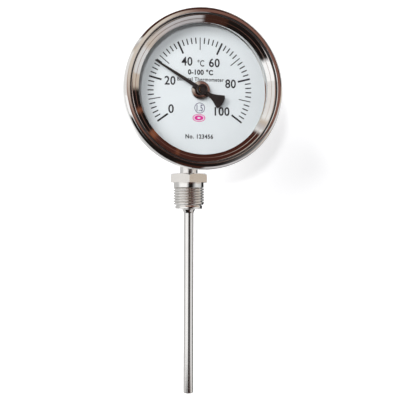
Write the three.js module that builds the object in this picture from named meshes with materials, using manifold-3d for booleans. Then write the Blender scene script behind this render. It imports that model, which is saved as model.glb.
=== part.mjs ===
// Dial thermometer: round bimetal head on an adjustable-angle rear joint, straight stem,
// loose G 1/2 process nut.
//
// Units are millimetres, +Z up. The stem runs down the Z axis. The origin is on that axis, on the
// underside of the nut's hexagon, which is the face that seats on a tank boss. The head's axis runs
// along Y at HEAD_Z and the dial faces -Y. "Depth" below is measured back from the plane where the
// bezel is widest.
import * as THREE from 'three';
import { mergeVertices } from 'three/addons/utils/BufferGeometryUtils.js';
import Module from 'manifold-3d';

const wasm = await Module();
wasm.setup();
const { Manifold, Mesh } = wasm;

// ---- driving dimensions -------------------------------------------------------------------------
const HEAD_Z = 58.3;            // height of the head's axis and of the tilt pivot above the seat
const BEZEL_Y = -48;            // plane where the bezel is widest
const GAP = 0.3;                // assembly gap between touching pieces

const BEZEL_R = 51;             // bezel of a nominal 100 mm head
const LIP_R = 41.35;            // window opening
const CAN_R = 49.2;             // drawn case, outside
const CAN_WALL = 1.2;
const CAN_FRONT = 5.5;          // depths of the case's open rim and back face
const CAN_BACK = 23;
const GLASS_R = 46;
const DIAL_R = 46.5;
const DIAL_DEPTH = 13;          // printed face
const DIAL_T = 0.8;
const DIAL_VISIBLE_R = 43.2;    // inner edge of the ring that holds the dial's rim

const SHANK_R = 4.6;            // tubular shank that carries the dial
const BOSS_R = 6.1;
const SPINDLE_R = 1.25;
const POINTER_LEN = 35;
const TAIL_LEN = 16;
const REST_ANGLE = 59;          // degrees left of upright at rest, about 26.5 on the scale

const PIVOT_R = 2.5;
const ARM_IN = 7.3;             // fork arms, inner and outer faces
const ARM_OUT = 10.8;
const ARM_END_R = 8;
const KNUCKLE_R = 7.2;

const NECK_R = 6;
const STEM_R = 3.25;
const STEM_WALL = 0.5;
const STEM_TIP = -143;
const ROD_R = 0.8;

const HEX_AF = 24;
const HEX_H = 6.1;
const HEX_TURN = 20.6;           // degrees: a corner of the hexagon points almost forward at rest
const THREAD_MAJOR = 20.955 / 2; // G 1/2
const THREAD_MINOR = 18.631 / 2;
const PITCH = 1.814;
const RELIEF_R = 10.15;
const RELIEF_END = -3.5;
const THREAD_END = -15.3;
const PILOT_R = 9.15;
const PILOT_END = -17.8;

// ---- materials ----------------------------------------------------------------------------------
const material = (name, colour, roughness, metalness, extra = {}) =>
  new THREE.MeshStandardMaterial({ name, color: colour, roughness, metalness, ...extra });
const polished = material('polished_steel', 0xd9dadb, 0.08, 1);
const satin = material('satin_steel', 0xc3c4c5, 0.3, 1);
const stemSteel = material('stem_steel', 0xd0d1d2, 0.18, 1);
const springSteel = material('spring_steel', 0x9b9ea1, 0.35, 1);
const bimetal = material('bimetal_strip', 0x9f948a, 0.4, 1);
const brass = material('brass', 0xb48a3e, 0.28, 1);
const rubber = material('black_rubber', 0x1b1c1e, 0.85, 0);
const polymer = material('guide_polymer', 0xe8e6df, 0.6, 0);
const whitePlate = material('dial_white', 0xe4e8ee, 0.55, 0);
const blackPaint = material('pointer_black', 0x101113, 0.5, 0);
const glass = material('window_glass', 0xf4f8fa, 0.03, 0, { transparent: true, opacity: 0.3 });

const root = new THREE.Group();
root.name = 'dial_thermometer';
function add(name, geometry, mat) {
  const mesh = new THREE.Mesh(geometry, mat);
  mesh.name = name;
  root.add(mesh);
}

// ---- shape helpers ------------------------------------------------------------------------------
// Solid or ring of revolution about Y. The profile is a list of [radius, y]; it closes on itself,
// or runs from the axis to the axis.
function lathe(profile, segments) {
  const points = profile.map(([r, y]) => new THREE.Vector2(r, y));
  let area = 0;
  points.forEach((p, i) => {
    const q = points[(i + 1) % points.length];
    area += p.x * q.y - q.x * p.y;
  });
  if (area < 0) points.reverse();
  const onAxis = points.filter((p) => p.x === 0).length === 2;
  if (!onAxis) points.push(points[0].clone());
  else while (points[0].x !== 0 || points[points.length - 1].x !== 0) points.push(points.shift());
  return new THREE.LatheGeometry(points, segments);
}

// Part of the head: the profile is [radius, depth behind the bezel plane].
function headLathe(profile, segments) {
  const g = lathe(profile.map(([r, depth]) => [r, BEZEL_Y + depth]), segments);
  return g.translate(0, 0, HEAD_Z);
}

// Part of the stem: the profile is [radius, height].
function stemLathe(profile, segments) {
  return lathe(profile, segments).rotateX(Math.PI / 2);
}

// A closed geometry as a manifold solid, with shared corners merged and flat triangles dropped.
function toManifold(geometry) {
  const bare = geometry.clone();
  bare.deleteAttribute('normal');
  bare.deleteAttribute('uv');
  const g = mergeVertices(bare, 1e-4);
  const index = g.index.array;
  const tris = [];
  for (let t = 0; t < index.length; t += 3) {
    const [a, b, c] = [index[t], index[t + 1], index[t + 2]];
    if (a !== b && b !== c && c !== a) tris.push(a, b, c);
  }
  return new Manifold(new Mesh({
    numProp: 3,
    vertProperties: new Float32Array(g.getAttribute('position').array),
    triVerts: new Uint32Array(tris),
  }));
}

function fromManifold(solid) {
  const m = solid.getMesh();
  const g = new THREE.BufferGeometry();
  g.setAttribute('position', new THREE.BufferAttribute(new Float32Array(m.vertProperties), 3));
  g.setIndex(Array.from(m.triVerts));
  g.computeVertexNormals();
  return g;
}

const hexRadius = (acrossFlats) => acrossFlats / Math.sqrt(3);

// Solids for cutting and joining: a disc or cone along Z, discs along Y and X through the head's
// centre line, and a box from corner to corner. A cylinder's first corner lies on +X (along Z), and
// towards +Z (along Y) or +Y (along X).
function cylZ(r, z0, z1, n, rTop = r, turn = 0) {
  const g = new THREE.CylinderGeometry(rTop, r, z1 - z0, n).rotateX(Math.PI / 2);
  return toManifold(g.rotateZ(Math.PI / 2 + turn).translate(0, 0, (z0 + z1) / 2));
}
function cylY(r, y0, y1, n) {
  return toManifold(new THREE.CylinderGeometry(r, r, y1 - y0, n).translate(0, (y0 + y1) / 2, HEAD_Z));
}
function cylX(r, x0, x1, n) {
  const g = new THREE.CylinderGeometry(r, r, x1 - x0, n).rotateZ(Math.PI / 2);
  return toManifold(g.translate((x0 + x1) / 2, 0, HEAD_Z));
}
function box(x0, x1, y0, y1, z0, z1) {
  const g = new THREE.BoxGeometry(x1 - x0, y1 - y0, z1 - z0);
  return toManifold(g.translate((x0 + x1) / 2, (y0 + y1) / 2, (z0 + z1) / 2));
}

// ---- case, bezel and window ---------------------------------------------------------------------
const canInner = CAN_R - CAN_WALL;
add('case_can', headLathe([
  [CAN_R, CAN_FRONT], [CAN_R, 20.4], [48.5, 22.3], [46.6, CAN_BACK], [6.5, CAN_BACK],
  [6.5, CAN_BACK - CAN_WALL], [46.2, CAN_BACK - CAN_WALL], [47.5, 21.2], [canInner, 20],
  [canInner, CAN_FRONT],
], 48), polished);

// Pressed ring: rounded outer rim, a fine step, then a hollow slope down to the window lip.
add('bezel_ring', headLathe([
  [BEZEL_R, 8], [BEZEL_R, 0.2], [50.5, -1.2], [49.4, -2.1], [47.2, -2.5], [46.5, -2.1],
  [46.2, -1.2], [44.6, -0.3], [43, 0.4], [LIP_R, 0.9], [LIP_R, 1.6], [43.2, 1.3],
  [45.4, 0.4], [46.9, -0.7], [48.6, -0.9], [49.5, 0.4], [49.5, 8],
], 48), polished);

// Channel gasket that wraps the rim of the glass.
add('window_gasket', headLathe([
  [48.2, 2], [48.2, 5.2], [43.6, 5.2], [43.6, 4.6], [GLASS_R + GAP, 4.6], [GLASS_R + GAP, 2.3],
  [43.6, 2.3], [43.6, 2],
], 48), rubber);
add('window_glass', headLathe([[0, 2.55], [GLASS_R, 2.55], [GLASS_R, 4.35], [0, 4.35]], 48), glass);

// Angle-section ring that stands on the dial's rim and keeps it off the glass.
add('dial_spacer_ring', headLathe([
  [46.8, CAN_FRONT + GAP], [46.8, DIAL_DEPTH - GAP], [DIAL_VISIBLE_R, DIAL_DEPTH - GAP],
  [DIAL_VISIBLE_R, DIAL_DEPTH - 1], [45.9, DIAL_DEPTH - 1], [45.9, CAN_FRONT + GAP],
], 48), polished);

// ---- dial and what carries it -------------------------------------------------------------------
add('dial_plate', headLathe([
  [SHANK_R + GAP, DIAL_DEPTH], [DIAL_R, DIAL_DEPTH], [DIAL_R, DIAL_DEPTH + DIAL_T],
  [SHANK_R + GAP, DIAL_DEPTH + DIAL_T],
], 48), whitePlate);

// Turned bush: round head in front of the dial, tubular shank back into the fork.
const bossFront = DIAL_DEPTH - 2.8;
add('dial_bush', headLathe([
  [1.5, bossFront], [BOSS_R - 0.4, bossFront], [BOSS_R, bossFront + 0.4],
  [BOSS_R, DIAL_DEPTH - GAP], [SHANK_R, DIAL_DEPTH - GAP], [SHANK_R, 27.7], [1.5, 27.7],
], 32), polished);

function hexRing(acrossFlats, holeR, depth0, depth1) {
  const hex = cylY(hexRadius(acrossFlats), BEZEL_Y + depth0, BEZEL_Y + depth1, 6);
  return fromManifold(hex.subtract(cylY(holeR, BEZEL_Y + depth0 - 1, BEZEL_Y + depth1 + 1, 24)));
}
add('dial_lock_nut', hexRing(13, SHANK_R + GAP, DIAL_DEPTH + DIAL_T + GAP, 16.6), brass);
add('case_nut', hexRing(19, 6.5, 17.6, 20.3), satin);
add('case_washer', headLathe([[6.5, 20.6], [10.6, 20.6], [10.6, 21.5], [6.5, 21.5]], 32), springSteel);
add('back_seal', headLathe([[6.5, 23.3], [13.4, 23.3], [13.4, 24.3], [6.5, 24.3]], 36), rubber);

// ---- adjustable-angle joint ---------------------------------------------------------------------
// Fork: threaded spigot through the case back, round flange, two arms with rounded ends.
const flangeY = BEZEL_Y + 24.6;
const spigot = cylY(6.2, BEZEL_Y + 17.2, flangeY + 0.5, 32);
const flange = cylY(14, flangeY, flangeY + 3.4, 40);
const forkBlock = box(-ARM_OUT, ARM_OUT, flangeY + 3, -12, HEAD_Z - ARM_END_R, HEAD_Z + ARM_END_R);
const armSides = box(-ARM_OUT, ARM_OUT, -12.2, 0, HEAD_Z - ARM_END_R, HEAD_Z + ARM_END_R);
const armEnds = cylX(ARM_END_R, -ARM_OUT, ARM_OUT, 32);
const forkSlot = box(-ARM_IN, ARM_IN, -12, 20, HEAD_Z - 20, HEAD_Z + 20);
add('tilt_fork', fromManifold(
  spigot.add(flange).add(forkBlock).add(armSides.add(armEnds).subtract(forkSlot))
    .subtract(cylY(SHANK_R + GAP, BEZEL_Y + 10, BEZEL_Y + 28, 24))
    .subtract(cylY(2.6, BEZEL_Y + 20, -5, 20))
    .subtract(cylX(PIVOT_R + GAP, -20, 20, 20)),
), satin);

// Knuckle on top of the neck: two ears joined at the back and below, open to the front and the top
// so that the flexible coupling can follow the head through its quarter turn.
const knuckleBarrel = cylX(KNUCKLE_R, -ARM_IN + GAP, ARM_IN - GAP, 32);
const knuckleShank = cylZ(KNUCKLE_R - 0.2, 38, HEAD_Z, 32)
  .intersect(box(-ARM_IN + GAP, ARM_IN - GAP, -10, 10, 30, HEAD_Z));
add('knuckle', fromManifold(
  knuckleBarrel.add(knuckleShank)
    .subtract(box(-3.8, 3.8, -12, 3.6, HEAD_Z - 3.8, HEAD_Z + 12))
    .subtract(box(-3.8, 3.8, -12, 0, HEAD_Z - 7.5, HEAD_Z))
    .subtract(cylZ(3.6, 41, HEAD_Z, 24))
    .subtract(cylZ(NECK_R + GAP, 30, 45, 32))
    .subtract(cylX(PIVOT_R + GAP, -20, 20, 20)),
), satin);

// Shoulder screws, one through each arm, with a cup-spring washer under each head.
const WASHER_T = 0.8;
const SCREW_HEAD_R = 4.6;
const SCREW_HEAD_T = 3;
const headStart = ARM_OUT + WASHER_T + 2 * GAP;
// Pieces drawn on the +X side; side -1 puts the same piece on the -X side.
function onSide(side, r, x0, x1, n) {
  return side > 0 ? cylX(r, x0, x1, n) : cylX(r, -x1, -x0, n);
}
for (const [side, name] of [[-1, 'left'], [1, 'right']]) {
  const shank = onSide(side, PIVOT_R, 4, headStart + 0.5, 20);
  const head = onSide(side, SCREW_HEAD_R, headStart, headStart + SCREW_HEAD_T, 32);
  const socket = onSide(side, hexRadius(4), headStart + 1.2, headStart + SCREW_HEAD_T + 1, 6);
  add(`pivot_screw_${name}`, fromManifold(shank.add(head).subtract(socket)), satin);
  const disc = onSide(side, 4.9, ARM_OUT + GAP, ARM_OUT + GAP + WASHER_T, 32);
  const hole = onSide(side, PIVOT_R + GAP, ARM_OUT - 1, ARM_OUT + 3, 20);
  add(`pivot_washer_${name}`, fromManifold(disc.subtract(hole)), springSteel);
}

// Flexible coupling: a wire-wound sleeve that leads the rod's turn round the corner. Its outline is
// a row of ribs along a quarter circle.
function bentRibbedRod(bendR, rodR, ribs, sides) {
  const rings = [];
  const steps = ribs * 2;
  for (let i = 0; i <= steps; i++) {
    const a = (i / steps) * Math.PI / 2;
    const r = i % 2 ? rodR : rodR * 0.86;
    const ring = [];
    for (let k = 0; k < sides; k++) {
      const b = (k / sides) * 2 * Math.PI;
      const reach = bendR + r * Math.cos(b);
      ring.push([r * Math.sin(b), -bendR + reach * Math.cos(a), HEAD_Z - bendR + reach * Math.sin(a)]);
    }
    rings.push(ring);
  }
  const verts = rings.flat(2);
  const first = verts.length / 3;
  verts.push(0, 0, HEAD_Z - bendR, 0, -bendR, HEAD_Z);
  const tris = [];
  for (let i = 0; i < steps; i++) {
    for (let k = 0; k < sides; k++) {
      const a = i * sides + k;
      const b = i * sides + ((k + 1) % sides);
      tris.push(a, b, b + sides, a, b + sides, a + sides);
    }
  }
  for (let k = 0; k < sides; k++) {
    const n = (k + 1) % sides;
    tris.push(first, n, k, first + 1, steps * sides + k, steps * sides + n);
  }
  const g = new THREE.BufferGeometry();
  g.setAttribute('position', new THREE.BufferAttribute(new Float32Array(verts), 3));
  g.setIndex(tris);
  return g;
}
const BEND_R = 7.6;
const coupling = bentRibbedRod(BEND_R, 1.9, 9, 12);
const couplingSolid = toManifold(coupling);
if (couplingSolid.volume() < 0) coupling.setIndex(Array.from(coupling.index.array).reverse());
add('flex_coupling', coupling, springSteel);

// ---- neck, stem and what is inside --------------------------------------------------------------
add('neck_tube', stemLathe([
  [NECK_R, -11.7], [NECK_R, 44.7], [4.6, 44.7], [4.6, -5], [3.6, -6.5], [3.6, -11.7],
], 36), stemSteel);

// Closed-end stem tube with a conical collar that the nut's pilot bears down on.
add('stem_tube', stemLathe([
  [0, STEM_TIP], [2.75, STEM_TIP], [STEM_R, STEM_TIP + 0.5], [STEM_R, -20.2], [4.4, -18.5],
  [4.4, PILOT_END - GAP], [STEM_R, PILOT_END - GAP], [STEM_R, 6],
  [STEM_R - STEM_WALL, 6], [STEM_R - STEM_WALL, STEM_TIP + 1.5], [0, STEM_TIP + 1.5],
], 36), stemSteel);

add('upper_guide', stemLathe([[1.1, 28], [4.3, 28], [4.3, 32], [1.1, 32]], 24), polymer);
add('lower_guide', stemLathe([[1.1, -48], [2.45, -48], [2.45, -43], [1.1, -43]], 20), polymer);

add('drive_rod', stemLathe([[0, -136], [ROD_R, -136], [ROD_R, 47.2], [0, 47.2]], 16), stemSteel);
add('rod_ferrule', stemLathe([
  [1.1, 44.9], [1.9, 44.9], [1.9, 47.6], [1.6, 50.4], [0, 50.4], [0, 47.5], [1.1, 47.5],
], 20), brass);

// Bimetal strip wound as a helix, anchored at the tip and clamped to the rod at its upper end.
function flatHelix(r0, r1, z0, pitch, turns, stripH, perTurn) {
  const verts = [];
  const tris = [];
  const steps = turns * perTurn;
  for (let i = 0; i <= steps; i++) {
    const a = (i / perTurn) * 2 * Math.PI;
    const z = z0 + (i / perTurn) * pitch;
    for (const [r, dz] of [[r0, 0], [r1, 0], [r1, stripH], [r0, stripH]]) {
      verts.push(r * Math.cos(a), r * Math.sin(a), z + dz);
    }
  }
  const quad = (a, b, c, d) => tris.push(a, b, c, a, c, d);
  for (let i = 0; i < steps; i++) {
    for (let k = 0; k < 4; k++) {
      const a = i * 4 + k;
      const b = i * 4 + ((k + 1) % 4);
      quad(a, a + 4, b + 4, b);
    }
  }
  const e = steps * 4;
  quad(0, 1, 2, 3);
  quad(e, e + 3, e + 2, e + 1);
  const g = new THREE.BufferGeometry();
  g.setAttribute('position', new THREE.BufferAttribute(new Float32Array(verts), 3));
  g.setIndex(tris);
  if (toManifold(g).volume() < 0) g.setIndex(tris.reverse());
  return g;
}
const COIL_LOW = -137;
const COIL_TURNS = 11;
const COIL_PITCH = 4.6;
add('bimetal_coil', flatHelix(1.75, 2.3, COIL_LOW, COIL_PITCH, COIL_TURNS, 3.8, 12), bimetal);
add('coil_anchor', stemLathe([
  [0, -141.2], [2.4, -141.2], [2.4, -137.4], [0, -137.4],
], 20), stemSteel);
const coilTop = COIL_LOW + COIL_TURNS * COIL_PITCH + 3.8 + GAP;
add('coil_clamp', stemLathe([
  [1.1, coilTop], [2.35, coilTop], [2.35, coilTop + 4], [1.1, coilTop + 4],
], 20), brass);

// ---- process nut --------------------------------------------------------------------------------
// Hexagon with a 30 degree chamfer on its corners, thread relief, G 1/2 thread drawn as plain
// rings, and a smooth pilot. The bore steps in so that the neck's end traps the nut from above.
const hexCorner = hexRadius(HEX_AF);
const hexBlank = cylZ(hexCorner, 0, HEX_H, 6, hexCorner, THREE.MathUtils.degToRad(HEX_TURN));
const chamferCone = cylZ(hexCorner + 4.6, -2, HEX_H - 2.13 + 4.5, 48, 10.6);
const threadProfile = [[0, 0.5], [RELIEF_R, 0.5], [RELIEF_R, RELIEF_END]];
const turns = Math.floor((RELIEF_END - THREAD_END - 0.6) / PITCH);
for (let i = 0; i < turns; i++) {
  const top = RELIEF_END - i * PITCH;
  threadProfile.push([THREAD_MINOR, top - 0.25], [THREAD_MINOR, top - 0.45]);
  threadProfile.push([THREAD_MAJOR, top - 1.05], [THREAD_MAJOR, top - 1.35]);
}
threadProfile.push([8.8, THREAD_END + 0.5], [8.8, THREAD_END], [PILOT_R, THREAD_END]);
threadProfile.push([PILOT_R, PILOT_END + 0.4], [PILOT_R - 0.4, PILOT_END], [0, PILOT_END]);
const threaded = toManifold(stemLathe(threadProfile, 30));
add('process_nut', fromManifold(
  hexBlank.intersect(chamferCone).add(threaded)
    .subtract(cylZ(NECK_R + GAP, -12, HEX_H + 1, 30))
    .subtract(cylZ(3.7, PILOT_END - 1, 0, 28)),
), satin);

// ---- pointer ------------------------------------------------------------------------------------
// Flat needle in the plane of the dial, drawn upright and turned to its rest reading.
function needleShape() {
  const s = new THREE.Shape();
  s.moveTo(0.4, POINTER_LEN);
  s.lineTo(-0.4, POINTER_LEN);
  s.lineTo(-1.1, 3);
  s.lineTo(-1.5, 0);
  s.lineTo(-1.3, -3);
  s.lineTo(-3.9, -TAIL_LEN + 1.6);
  s.lineTo(-3.4, -TAIL_LEN + 0.7);
  s.lineTo(-1.8, -TAIL_LEN + 0.1);
  s.lineTo(0, -TAIL_LEN - 0.1);
  s.lineTo(1.8, -TAIL_LEN + 0.1);
  s.lineTo(3.4, -TAIL_LEN + 0.7);
  s.lineTo(3.9, -TAIL_LEN + 1.6);
  s.lineTo(1.3, -3);
  s.lineTo(1.5, 0);
  s.lineTo(1.1, 3);
  s.closePath();
  return s;
}
const NEEDLE_DEPTH = 7.2;
const needle = new THREE.ExtrudeGeometry(needleShape(), { depth: 0.6, bevelEnabled: false });
needle.rotateX(Math.PI / 2).rotateY((-REST_ANGLE * Math.PI) / 180);
needle.translate(0, BEZEL_Y + NEEDLE_DEPTH + 0.6, HEAD_Z);
const needleSolid = toManifold(needle)
  .add(cylY(2.4, BEZEL_Y + NEEDLE_DEPTH, BEZEL_Y + NEEDLE_DEPTH + 0.6, 24))
  .subtract(cylY(SPINDLE_R + GAP, BEZEL_Y, BEZEL_Y + 20, 16));
add('pointer_needle', fromManifold(needleSolid), blackPaint);
add('pointer_hub', headLathe([
  [SPINDLE_R + GAP, 6], [2.2, 6], [2.4, 5.2], [3.1, 5.2], [3.45, 5.5], [3.45, 6.9],
  [SPINDLE_R + GAP, 6.9],
], 28), blackPaint);
add('pointer_collar', headLathe([
  [SPINDLE_R + GAP, 8.1], [2.2, 8.1], [2.2, 9.9], [SPINDLE_R + GAP, 9.9],
], 20), brass);
const SPINDLE_END = -BEND_R - 3 - BEZEL_Y;
add('pointer_spindle', headLathe([
  [0, 5.7], [SPINDLE_R, 5.7], [SPINDLE_R, SPINDLE_END], [0, SPINDLE_END],
], 16), brass);
add('spindle_ferrule', headLathe([
  [SPINDLE_R + 0.2, SPINDLE_END - 1.2], [2.2, SPINDLE_END - 1.2], [2, SPINDLE_END + 2.7],
  [0, SPINDLE_END + 2.7], [0, SPINDLE_END + GAP], [SPINDLE_R + 0.2, SPINDLE_END + GAP],
], 20), brass);

export default root;
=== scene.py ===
"""Looks for the dial thermometer: polished head, printed dial, adjustable rear joint, process nut
and stem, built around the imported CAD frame. Sizes below are millimetres unless a name says
otherwise; meshes are written in metres in the frame's own coordinates."""
import math
import bmesh
import bpy
from mathutils import Matrix, Vector


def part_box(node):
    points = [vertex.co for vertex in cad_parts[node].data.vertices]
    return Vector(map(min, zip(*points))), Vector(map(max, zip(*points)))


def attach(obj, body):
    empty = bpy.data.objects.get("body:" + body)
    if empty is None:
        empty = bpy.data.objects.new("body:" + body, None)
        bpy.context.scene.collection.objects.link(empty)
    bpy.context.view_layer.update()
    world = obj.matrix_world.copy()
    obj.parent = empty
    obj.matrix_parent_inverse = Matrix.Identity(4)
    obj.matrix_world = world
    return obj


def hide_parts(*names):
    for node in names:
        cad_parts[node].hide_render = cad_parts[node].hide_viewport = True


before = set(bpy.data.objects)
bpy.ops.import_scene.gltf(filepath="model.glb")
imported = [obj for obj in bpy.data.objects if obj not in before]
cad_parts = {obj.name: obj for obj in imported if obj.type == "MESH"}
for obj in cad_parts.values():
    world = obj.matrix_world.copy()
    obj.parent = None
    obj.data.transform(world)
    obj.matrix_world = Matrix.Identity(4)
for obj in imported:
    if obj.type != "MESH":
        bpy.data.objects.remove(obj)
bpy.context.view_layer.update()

# ---- places taken from the frame ----------------------------------------------------------------
MM = 0.001


def node_box(name):
    """Lowest and highest corner of a CAD node, in millimetres."""
    low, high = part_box(name)
    return low / MM, high / MM


BEZEL_LOW, BEZEL_HIGH = node_box("bezel_ring")
BEZEL_R = (BEZEL_HIGH.x - BEZEL_LOW.x) / 2
HEAD_Z = (BEZEL_HIGH.z + BEZEL_LOW.z) / 2
BEZEL_Y = BEZEL_LOW.y + 2.5          # plane where the bezel is widest; depths count back from it
DIAL_DEPTH = node_box("dial_plate")[0].y - BEZEL_Y
DIAL_T = node_box("dial_plate")[1].y - node_box("dial_plate")[0].y
STEM_TIP = node_box("stem_tube")[0].z
STEM_TOP = node_box("stem_tube")[1].z
HEX_TOP = node_box("process_nut")[1].z
PILOT_END = node_box("process_nut")[0].z

# ---- main sizes ---------------------------------------------------------------------------------
LIP_R = 41.5
CAN_R = 49.2
DIAL_VISIBLE_R = 43.2
SCALE_OUTER_R = 34.1
SCALE_SWEEP = 252                    # degrees from the first to the last mark
SCALE_TOP_VALUE = 50
SCALE_LAST = 100
POINTER_REST = 59                    # degrees left of upright
POINTER_LEN = 35
TAIL_LEN = 16
NECK_R = 6
STEM_R = 3.25
HEX_AF = 24
HEX_TURN = 20.6
THREAD_MAJOR = 20.955 / 2
THREAD_MINOR = 18.631 / 2
THREAD_PITCH = 1.814
FINE = 192  # segments round a large turned piece


# ---- camera -------------------------------------------------------------------------------------
def make_camera(azimuth, elevation, roll, distance, aim, lens):
    """Camera at an azimuth and elevation round the aim point; azimuth 0 looks along +Y."""
    data = bpy.data.cameras.new("camera")
    data.lens = lens
    data.sensor_width = 36
    data.clip_start, data.clip_end = 0.01, 20
    camera = bpy.data.objects.new("camera", data)
    bpy.context.scene.collection.objects.link(camera)
    a, e = math.radians(azimuth), math.radians(elevation)
    back = Vector((math.sin(a) * math.cos(e), -math.cos(a) * math.cos(e), math.sin(e)))
    camera.rotation_mode = "QUATERNION"
    turn = (-back).to_track_quat("-Z", "Y")
    camera.rotation_quaternion = turn @ Matrix.Rotation(math.radians(roll), 3, "Z").to_quaternion()
    camera.location = (Vector(aim) + back * distance) * MM
    bpy.context.scene.camera = camera
    return back


VIEW_BACK = make_camera(
    azimuth=-12.44, elevation=-0.03, roll=0.15, distance=564,
    aim=(-2.83, BEZEL_Y - 0.62, HEAD_Z - 70.2), lens=81,
)


# ---- node helpers -------------------------------------------------------------------------------
class Nodes:
    """A small wrapper that adds nodes to a tree and links what it is given."""

    def __init__(self, tree):
        self.tree = tree

    def add(self, kind, inputs=None, **props):
        node = self.tree.nodes.new(kind)
        for key, value in props.items():
            setattr(node, key, value)
        for key, value in (inputs or {}).items():
            if isinstance(value, bpy.types.NodeSocket):
                self.tree.links.new(value, node.inputs[key])
            else:
                node.inputs[key].default_value = value
        return node

    def math(self, operation, a, b=0.0, clamp=False):
        return self.add("ShaderNodeMath", {0: a, 1: b}, operation=operation, use_clamp=clamp).outputs[0]

    def ramp(self, factor, stops, mode="LINEAR"):
        node = self.add("ShaderNodeValToRGB", {"Fac": factor})
        elements = node.color_ramp.elements
        node.color_ramp.interpolation = mode
        while len(elements) > 1:
            elements.remove(elements[-1])
        elements[0].position, elements[0].color = stops[0][0], rgba(stops[0][1])
        for position, colour in stops[1:]:
            elements.new(position).color = rgba(colour)
        return node.outputs["Color"]

    def mix(self, factor, a, b):
        node = self.add("ShaderNodeMix", data_type="RGBA")
        for socket, value in zip((node.inputs[0], node.inputs[6], node.inputs[7]), (factor, a, b)):
            if isinstance(value, bpy.types.NodeSocket):
                self.tree.links.new(value, socket)
            else:
                socket.default_value = value if isinstance(value, float) else rgba(value)
        return node.outputs[2]


def rgba(colour):
    if isinstance(colour, (int, float)):
        return (colour, colour, colour, 1)
    return (*colour[:3], 1)


def new_material(name, **values):
    """An empty material with a Principled shader whose own sockets take the given values."""
    material = bpy.data.materials.new(name)
    material.use_nodes = True
    material.node_tree.nodes.clear()
    nodes = Nodes(material.node_tree)
    shader = nodes.add("ShaderNodeBsdfPrincipled", {k.replace("_", " "): v for k, v in values.items()})
    nodes.add("ShaderNodeOutputMaterial", {"Surface": shader.outputs[0]})
    return material, nodes, shader


def mm_coords(nodes):
    """The point on the surface in millimetres in the frame, which moves with its body."""
    place = nodes.add("ShaderNodeTexCoord").outputs["Object"]
    scaled = nodes.add("ShaderNodeVectorMath", {0: place, 1: (1000, 1000, 1000)}, operation="MULTIPLY")
    return scaled.outputs[0]


def axis_radius(nodes, place, around_head):
    """Distance from the head's axis or from the stem's axis, in millimetres."""
    offset = (0, 0, HEAD_Z) if around_head else (0, 0, 0)
    keep = (1, 0, 1) if around_head else (1, 1, 0)
    moved = nodes.add("ShaderNodeVectorMath", {0: place, 1: offset}, operation="SUBTRACT").outputs[0]
    flat = nodes.add("ShaderNodeVectorMath", {0: moved, 1: keep}, operation="MULTIPLY").outputs[0]
    return nodes.add("ShaderNodeVectorMath", {0: flat}, operation="LENGTH").outputs["Value"]


# ---- materials ----------------------------------------------------------------------------------
def steel(name, colour, roughness, turned, line_scale, line_depth, around_head=False, smudge=0.15):
    """Stainless steel. Fine lines run round the part's axis, as left by turning and polishing, and
    faint smudges change the gloss from place to place."""
    material, nodes, shader = new_material(name, Metallic=1.0)
    place = mm_coords(nodes)
    if turned:
        radius = axis_radius(nodes, place, around_head)
        split = nodes.add("ShaderNodeSeparateXYZ", {0: place})
        along = split.outputs["Y" if around_head else "Z"]
        lane = nodes.add("ShaderNodeCombineXYZ", {"X": radius, "Y": along}).outputs[0]
    else:
        stretched = {0: place, 1: (0.15, 0.15, 3)}
        lane = nodes.add("ShaderNodeVectorMath", stretched, operation="MULTIPLY").outputs[0]
    lines = nodes.add("ShaderNodeTexNoise", {
        "Vector": lane, "Scale": line_scale, "Detail": 3, "Roughness": 0.7})
    patches = nodes.add("ShaderNodeTexNoise", {"Vector": place, "Scale": 0.11, "Detail": 4, "Roughness": 0.6})
    tint = nodes.ramp(patches.outputs["Fac"], [(0.3, [c * 0.94 for c in colour]), (0.7, colour)])
    nodes.tree.links.new(tint, shader.inputs["Base Color"])
    low, high = roughness * (1 - smudge), roughness * (1 + smudge)
    gloss = nodes.add("ShaderNodeMapRange", {
        "Value": patches.outputs["Fac"], 1: 0.3, 2: 0.7, 3: low, 4: high})
    nodes.tree.links.new(gloss.outputs[0], shader.inputs["Roughness"])
    bump = nodes.add("ShaderNodeBump", {
        "Height": lines.outputs["Fac"], "Strength": 1.0, "Distance": line_depth * MM})
    nodes.tree.links.new(bump.outputs[0], shader.inputs["Normal"])
    return material


def brass_material():
    material, nodes, shader = new_material("brass", Metallic=1.0)
    place = mm_coords(nodes)
    stain = nodes.add("ShaderNodeTexNoise", {"Vector": place, "Scale": 0.8, "Detail": 5})
    colour = nodes.ramp(stain.outputs["Fac"], [(0.3, (0.42, 0.27, 0.09)), (0.7, (0.72, 0.50, 0.20))])
    nodes.tree.links.new(colour, shader.inputs["Base Color"])
    gloss = nodes.add("ShaderNodeMapRange", {"Value": stain.outputs["Fac"], 3: 0.18, 4: 0.38})
    nodes.tree.links.new(gloss.outputs[0], shader.inputs["Roughness"])
    bump = nodes.add("ShaderNodeBump", {"Height": stain.outputs["Fac"], "Distance": 0.01 * MM})
    nodes.tree.links.new(bump.outputs[0], shader.inputs["Normal"])
    return material


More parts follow.
